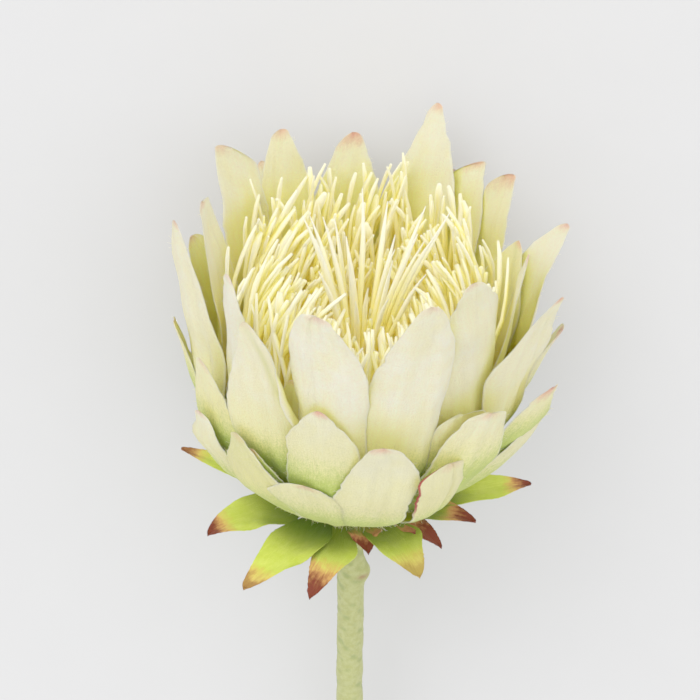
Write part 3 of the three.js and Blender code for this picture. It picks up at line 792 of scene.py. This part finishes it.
def threads(root, knee, tip, radius, bend, seed, sides, rows, margin=None):
    """Closed skins of threads bent towards a knee between root and tip; radius is threads x rows.
    With a margin they are held that far inside the wall of petals."""
    rng = np.random.default_rng(seed)
    count = len(root)
    f = np.linspace(0, 1, rows)[None, :, None]
    f = 1 - (1 - f) ** 1.25
    line = (1 - f) ** 2 * root[:, None] + 2 * f * (1 - f) * knee[:, None] + f * f * tip[:, None]
    ahead = unit(2 * (1 - f) * (knee - root)[:, None] + 2 * f * (tip - knee)[:, None])
    u = unit(np.cross(ahead, rng.normal(size=(count, 1, 3))))
    v = np.cross(ahead, u)
    phase = rng.uniform(0, TAU, (count, 2))
    wander = u * np.sin(7 * f + phase[:, :1, None]) + v * np.sin(5 * f + phase[:, 1:, None])
    line = line + bend * f * wander
    if margin:
        line = held_in(line, margin)
    a = np.arange(sides) * TAU / sides
    ring = u[:, :, None] * np.cos(a)[:, None] + v[:, :, None] * np.sin(a)[:, None]
    points = line[:, :, None] + ring * radius[:, :, None, None]
    along = (f + 0 * line[..., :1]) + 0 * a
    length = np.linalg.norm(tip - root, axis=-1)[:, None, None]
    cloth = np.stack([0.8 * a + 0 * along, along * length,
                      (np.arange(count) * 5.3)[:, None, None] + 0 * along], -1)
    tone = rng.uniform(-1, 1, (count, 1, 1)) + 0 * along
    return points, {"cloth": cloth, "along": along, "tone": tone}


def ring_threads(azimuth, u, top, lean, drift):
    """Threads that stand up along the wall of petals and lean in towards the axis by lean."""
    root = polar(azimuth, 13 + 11 * u, 24 + 0 * u)
    knee_r = 12 + (wall(azimuth, 0.62 * top) - 4) * u
    tip_r = np.maximum(knee_r - 10 * u - lean, 4)
    return root, polar(azimuth, knee_r, 0.62 * top), polar(azimuth + drift, tip_r, top)


def head_top(azimuth, u):
    """Height of the threads: highest at the back, low round the middle and at the front."""
    front = np.exp(-((turn_between(azimuth, HOLLOW_AZIMUTH) / 45) ** 2))
    back = np.exp(-((turn_between(azimuth, HIGH_AZIMUTH) / 75) ** 2))
    return 72 + 28 * u**1.3 + (9 * back - 12 * front) * u


HOLLOW_AZIMUTH, HOLLOW_DEPTH = 272, 10  # where the head and its bed are lower
HIGH_AZIMUTH = 85  # where the head is highest
BACK_AZIMUTH, BACK_THREADS = 90, 110
OUTER_THREADS, MIDDLE_THREADS, SHORT_THREADS = 225, 400, 130
SPIKES, MIDDLE_TUFT = 24, 24
THREAD_ROWS, THREAD_SIDES = 10, 6
SPIKE_ROWS, SPIKE_SIDES = 14, 8
WALL_TOP, WALL_MARGIN = 100, 2.6  # least height of the petals' wall, and the threads' way to it
GOLDEN_ANGLE = 137.508
BED_HEIGHT = 54
BED_SIDES, PLUG_SIDES = 96, 24
BED_PROFILE = [(9.5, 11.1), (12, 11.6), (16, 13.9), (20, 16.4), (23, 18.4), (26, 21), (29.5, 27),
               (33, 36), (34.5, 54), (34.5, 66), (33, 68), (28, 63), (20, 58),
               (9.5, BED_HEIGHT - 1)]
PLUG_PROFILE = [(0.3, 11.1), (9, 11.1), (9, 21), (8.5, BED_HEIGHT - 4), (5, BED_HEIGHT - 1),
                (0.3, BED_HEIGHT)]
rng = np.random.default_rng(4633)


def scattered(count, first=0):
    """Azimuths and places from 0 at the axis to 1 at the edge, even over a round bed."""
    number = np.arange(count)
    return number * GOLDEN_ANGLE + first, np.sqrt((number + 0.5) / count)


number = np.arange(OUTER_THREADS)
azimuth = number * 360 / OUTER_THREADS + rng.uniform(-1, 1, OUTER_THREADS)
u = np.array([1.0, 0.9, 0.8])[number % 3]
inner_azimuth, inner_u = scattered(MIDDLE_THREADS)
azimuth = np.concatenate([azimuth, inner_azimuth + rng.uniform(-3, 3, MIDDLE_THREADS)])
u = np.concatenate([u, 0.1 + 0.72 * inner_u])
count = len(u)
# At the sides the threads lean in over the head, at the back and front they stand.
sideways = np.abs(np.cos(np.radians(azimuth)))
lean = u * (1 + 9 * sideways) + rng.normal(0, 6, count)
drift = rng.normal(0, np.where(rng.random(count) < 0.35, 20, 8))
top = head_top(azimuth, u) + rng.uniform(-9, 4, count)
root, knee, tip = ring_threads(azimuth, u, top, lean, drift)
# Tufts lean one way or another.
sway = [swell(tip[:, 0], tip[:, 1], seed, 18) * 4 for seed in (41, 42)]
tuft = np.stack(sway + [np.zeros(count)], -1)
tip = tip + tuft
knee = knee + 0.3 * tuft + rng.normal(0, 1.5, (count, 3))
f = np.linspace(0, 1, THREAD_ROWS)[None, :]
thick = FILAMENT_RADIUS * rng.uniform(0.85, 1.25, (count, 1))
ball = np.where(rng.random((count, 1)) < 0.12, 0.7, 0.0) * smooth((f - 0.8) / 0.1)
lumpy = 0.12 * np.sin(9 * f + rng.uniform(0, TAU, (count, 1)))
radius = thick * (1 - 0.2 * f**2 + ball + lumpy) * np.where(f > 0.99, 0.6, 1.0)
points, values = threads(root, knee, tip, radius, 1.1, 5, THREAD_SIDES, THREAD_ROWS, WALL_MARGIN)
skin = Skin()
skin.add(points, values, (0, 0, 1, 0.9), across=125)
bed = turned(BED_PROFILE, BED_SIDES)
bed_azimuth = np.degrees(np.arctan2(bed[..., 1], bed[..., 0]))
drop = HOLLOW_DEPTH * np.exp(-((turn_between(bed_azimuth, HOLLOW_AZIMUTH) / 45) ** 2))
drop = (drop + 1.2 * swell(bed[..., 0], bed[..., 1], 9, 5)) * smooth((bed[..., 2] - 50) / 16)
bed = bed - drop[..., None] * (0, 0, 1)
skin.add(bed, {"cloth": bed, "along": 0, "tone": 0}, (0, 0.96, 1, 1), ring=True)


def short_threads(azimuth, u, draw):
    """Threads that close the bed between the long ones."""
    reach = 10 + 21 * u
    root = polar(azimuth, reach, 48 + 0 * u)
    knee = polar(azimuth, reach + 1, 58 + 6 * u)
    height = 62 + 8 * u + draw.uniform(-2, 12, len(u))
    tip = polar(azimuth, reach, height) + draw.normal(0, 3, (len(u), 3)) * (1, 1, 0)
    radius = FILAMENT_RADIUS * draw.uniform(0.8, 1.1, (len(u), 1)) * np.where(f > 0.99, 0.72, 1.0)
    return threads(root, knee, tip, radius, 1.5, 7, THREAD_SIDES, THREAD_ROWS, WALL_MARGIN)


azimuth, u = scattered(SHORT_THREADS, 40)
skin.add(*short_threads(azimuth, u, rng), (0, 0.91, 0.6, 0.955), across=SHORT_THREADS)
# More of them stand at the back, where the long ones lean apart.
draw = np.random.default_rng(7)
azimuth = BACK_AZIMUTH + draw.uniform(-80, 80, BACK_THREADS)
u = draw.uniform(0.15, 1.0, BACK_THREADS) ** 0.5
skin.add(*short_threads(azimuth, u, draw), (0.61, 0.91, 1, 0.955), across=BACK_THREADS)
fibre = thread_material("floret_fibre", MUSTARD, colour(255, 245, 166), colour(255, 248, 206))
skin.piece("floret_threads", fibre, ["floret_ring"], bloom)

# Pointed spikes fan out of the middle, over short threads.
azimuth, u = scattered(SPIKES)
drift = rng.uniform(-8, 8, SPIKES)
root = polar(azimuth, 5 * u, 20.5 + 0 * u)
knee = polar(azimuth, 4.5 * u, 68 + 0 * u)
lower = 6 * (np.cos(np.radians(azimuth + 90)) > 0.6)
tip = polar(azimuth + drift, 5 + 22 * u, rng.uniform(98, 115, SPIKES) - lower)
f = np.linspace(0, 1, SPIKE_ROWS)[None, :]
radius = FILAMENT_RADIUS * rng.uniform(0.95, 1.2, (SPIKES, 1))
radius = radius * (1 - 0.85 * smooth((f - 0.7) / 0.32))
points, values = threads(root, knee, tip, radius, 0.6, 6, SPIKE_SIDES, SPIKE_ROWS)
skin = Skin()
skin.add(points, values, (0, 0, 1, 0.3), across=SPIKES)
azimuth, u = scattered(MIDDLE_TUFT, 40)
root = polar(azimuth, 6 * u, 44 + 0 * u)
knee = polar(azimuth, 7 * u, 56 + 0 * u)
tip = polar(azimuth, 10 * u, rng.uniform(60, 76, MIDDLE_TUFT))
f = np.linspace(0, 1, THREAD_ROWS)[None, :]
radius = FILAMENT_RADIUS * rng.uniform(0.8, 1.1, (MIDDLE_TUFT, 1)) * np.where(f > 0.99, 0.72, 1.0)
points, values = threads(root, knee, tip, radius, 1.0, 8, THREAD_SIDES, THREAD_ROWS)
skin.add(points, values, (0, 0.32, 1, 0.9), across=MIDDLE_TUFT)
a = np.arange(PLUG_SIDES) * TAU / PLUG_SIDES
rim = polar(np.degrees(a), 1, 0) * (1, 1, 0)
plug = np.stack([rim * r + (0, 0, h) for r, h in PLUG_PROFILE])[None]
skin.add(plug, {"cloth": plug, "along": 0, "tone": 0}, (0, 0.92, 1, 1))
fibre = thread_material("style_fibre", colour(254, 242, 126), colour(255, 246, 170),
                        colour(255, 251, 222))
skin.piece("centre_threads", fibre, ["centre_styles"], bloom)

# Short hairs stand on the bases and edges of the petals.
HAIRS_A_PETAL, HAIR_RADIUS, HAIR_ROWS = 110, 0.05, 4
BASE_HAIR = 1.4  # by how much the hairs near a petal's base are longer


def hairs(layer, row, look, toward_base, draw):
    """Roots and ends of the hairs of one petal, more of them near its base with a higher power."""
    t = draw.uniform(0.14, 0.985, HAIRS_A_PETAL) ** toward_base
    side = draw.choice((-1, 1), HAIRS_A_PETAL)
    on_edge = draw.random(HAIRS_A_PETAL) < 0.6
    s = side * np.where(on_edge, 1.0, draw.uniform(0, 1, HAIRS_A_PETAL))
    at = surface(t, s, layer, row, look)
    along = surface(t + 0.01, s, layer, row, look) - at
    wide = at - surface(t, s * 0.9, layer, row, look)
    out = unit(np.cross(along, wide) * np.sign(s)[:, None])
    along, wide = unit(along), unit(wide)
    outward = np.where(np.abs(s) > 0.99, 1.0, 0.2)[:, None]
    way = draw.normal(0, 0.5, (HAIRS_A_PETAL, 3)) + 0.5 * along + outward * wide
    way += 0.7 * np.sign(np.sum(out * at * (1, 1, 0), -1))[:, None] * out
    length = draw.uniform(0.7, 1.9, HAIRS_A_PETAL) + BASE_HAIR * (t < 0.35)
    return at, at + unit(way) * length[:, None]


grown = []
for order, (name, layer) in enumerate(LAYERS.items()):
    for k, (row, look) in enumerate(zip(layer["rows"], petal_looks[name])):
        draw = np.random.default_rng(9000 + 100 * order + k)
        grown.append(hairs(layer, row, look, 1.0 if order else 1.7, draw))
root, tip = (np.concatenate(ends) for ends in zip(*grown))
knee = (root + tip) / 2 + np.random.default_rng(3).normal(0, 0.15, root.shape)
radius = HAIR_RADIUS * (1 - 0.6 * np.linspace(0, 1, HAIR_ROWS)[None, :]) + np.zeros((len(root), 1))
points, values = threads(root, knee, tip, radius, 0, 4, 4, HAIR_ROWS)
skin = Skin()
skin.add(points, values, (0, 0, 1, 1), across=80)
fibre = thread_material("fuzz_fibre", colour(226, 232, 150), colour(250, 243, 200),
                        colour(254, 250, 230))
skin.piece("petal_fuzz", fibre, [], bloom)

# Stem, its line upright and bent into the bloom's axis at the top.
STEM_ROWS, STEM_SIDES = 300, 48
KNOB_AZIMUTH, KNOB_HEIGHT, KNOB_SIZE = -12, -36, 2.6
BEND_LENGTH = 28  # of the stem below the bloom that leans with it
top = COLLAR["root"][1] - HUB_HALF - GAP
z = np.linspace(-STEM_LENGTH, top, STEM_ROWS)
z = np.concatenate([np.full(3, -STEM_LENGTH), z, [top + 0.4, 7.0]])[:, None]
a = (np.arange(STEM_SIDES) * TAU / STEM_SIDES)[None, :]
f = (z + STEM_LENGTH) / (STEM_LENGTH + top)
# Sines that close round the stem.
rng = np.random.default_rng(12)
pits = sum(np.sin(n * a + TAU * z / rng.uniform(5, 13) * rng.choice((-1, 1)) + rng.uniform(0, TAU))
           for n in (1, 2, 2, 3, 3, 4, 5)) / math.sqrt(7)
dent = smooth((pits - 0.25) / 1.1)
wavy = 0.22 * ripple(z / STEM_LENGTH, 8, 4, 14) + 0.2 * np.sin(a + 0.09 * z) + 0.12 * pits
turn = (a - math.radians(KNOB_AZIMUTH) + math.pi) % TAU - math.pi
bud = np.exp(-((STEM_RADIUS * turn / 3.2) ** 2 + ((z - KNOB_HEIGHT) / 4.2) ** 2))
scar = np.exp(-((STEM_RADIUS * (turn + 0.5) / 1.6) ** 2 + ((z - KNOB_HEIGHT + 0.6) / 1.1) ** 2))
radius = STEM_RADIUS + wavy - 0.4 * dent + KNOB_SIZE * bud - 0.5 * scar
radius = radius + 0.5 * smooth((f - 0.9) * 10)
radius[0], radius[1], radius[2] = 0.2, STEM_RADIUS * 0.6, STEM_RADIUS - 0.35
radius[-2:] = PIN_RADIUS
x, y = radius * np.cos(a), radius * np.sin(a)
bend = math.radians(HEAD_LEAN_DEG) * (1 - smooth(np.maximum(0, -z) / BEND_LENGTH))
sx = x * np.cos(bend) + np.where(z > -BEND_LENGTH, z, 0) * np.sin(bend)
sz = -x * np.sin(bend) + np.where(z > 0, z * np.cos(bend), z)
points = np.stack([sx, y + 0 * sx, sz], -1)[None]
cut = np.zeros_like(sx)
cut[:3] = 1
values = {"cloth": np.stack([x, y, z + 0 * x], -1)[None], "dent": dent[None],
          "scar": (scar + 0 * x)[None], "cut": cut[None]}
skin = Skin()
skin.add(points, values, (0, 0, 1, 1))
skin.piece("stem_skin", stem_material(), ["stem"], lay)

# Pale surface, soft light and the camera at the photograph's viewing angle.
bpy.ops.mesh.primitive_plane_add(size=8, location=(0, 0, 0))
floor = bpy.context.object
floor.name = "floor"
m = Shader("floor_paint", Roughness=0.9, Specular_IOR_Level=0.1)
spot = m.tree.nodes.new("ShaderNodeTexCoord").outputs["Object"]
paint = m.mix(m.noise(spot, 40), colour(196, 196, 197), colour(199, 199, 200))
floor.data.materials.append(m.finish(paint))

ELEVATION_DEG = 34
CAMERA_AWAY, CAMERA_HEIGHT = 930, 49.3
LENS, SENSOR = 135, 36
WORLD_LIGHT = 1.03
PRINT_GAMMA = 1.6  # the photograph is a high-key print with lifted shadows
tilt = math.radians(ELEVATION_DEG)
up = Vector((0, math.sin(tilt), math.cos(tilt)))
toward = Vector((0, -math.cos(tilt), math.sin(tilt)))
place = up * CAMERA_HEIGHT + toward * CAMERA_AWAY
view = Matrix((Vector((1, 0, 0)), up, toward)).transposed().to_4x4()
view.translation = place
view = lay @ view
view.translation = view.translation * MM
camera = bpy.data.objects.new("camera", bpy.data.cameras.new("camera"))
camera.data.lens = LENS
camera.data.sensor_width = SENSOR
camera.matrix_world = view
scene.collection.objects.link(camera)
scene.camera = camera


def sun(name, strength, spread_deg, direction):
    """Even light over the whole surface; direction is where it comes from, in the photograph's
    right, up and towards the camera."""
    light = bpy.data.objects.new(name, bpy.data.lights.new(name, "SUN"))
    light.data.energy, light.data.angle = strength, math.radians(spread_deg)
    way = view.to_3x3() @ Vector(direction)
    light.matrix_world = way.to_track_quat("Z", "Y").to_matrix().to_4x4()
    scene.collection.objects.link(light)


sun("key", 0.9, 35, (-0.42, 0.4, 0.82))
sun("side", 0.25, 90, (-0.85, 0.2, 0.5))
sun("fill", 0.55, 90, (0.75, 0.3, 0.6))
sun("crown", 0.5, 60, (0.0, 0.83, 0.56))
world = bpy.data.worlds.new("studio")
scene.world = world
world.use_nodes = True
sky = world.node_tree.nodes["Background"]
sky.inputs["Color"].default_value = (1, 1, 1, 1)
sky.inputs["Strength"].default_value = WORLD_LIGHT
scene.view_settings.view_transform = "Standard"
scene.view_settings.gamma = PRINT_GAMMA
# Light has to pass many times between the pale petals and threads.
scene.cycles.max_bounces = 32
scene.cycles.diffuse_bounces = 24
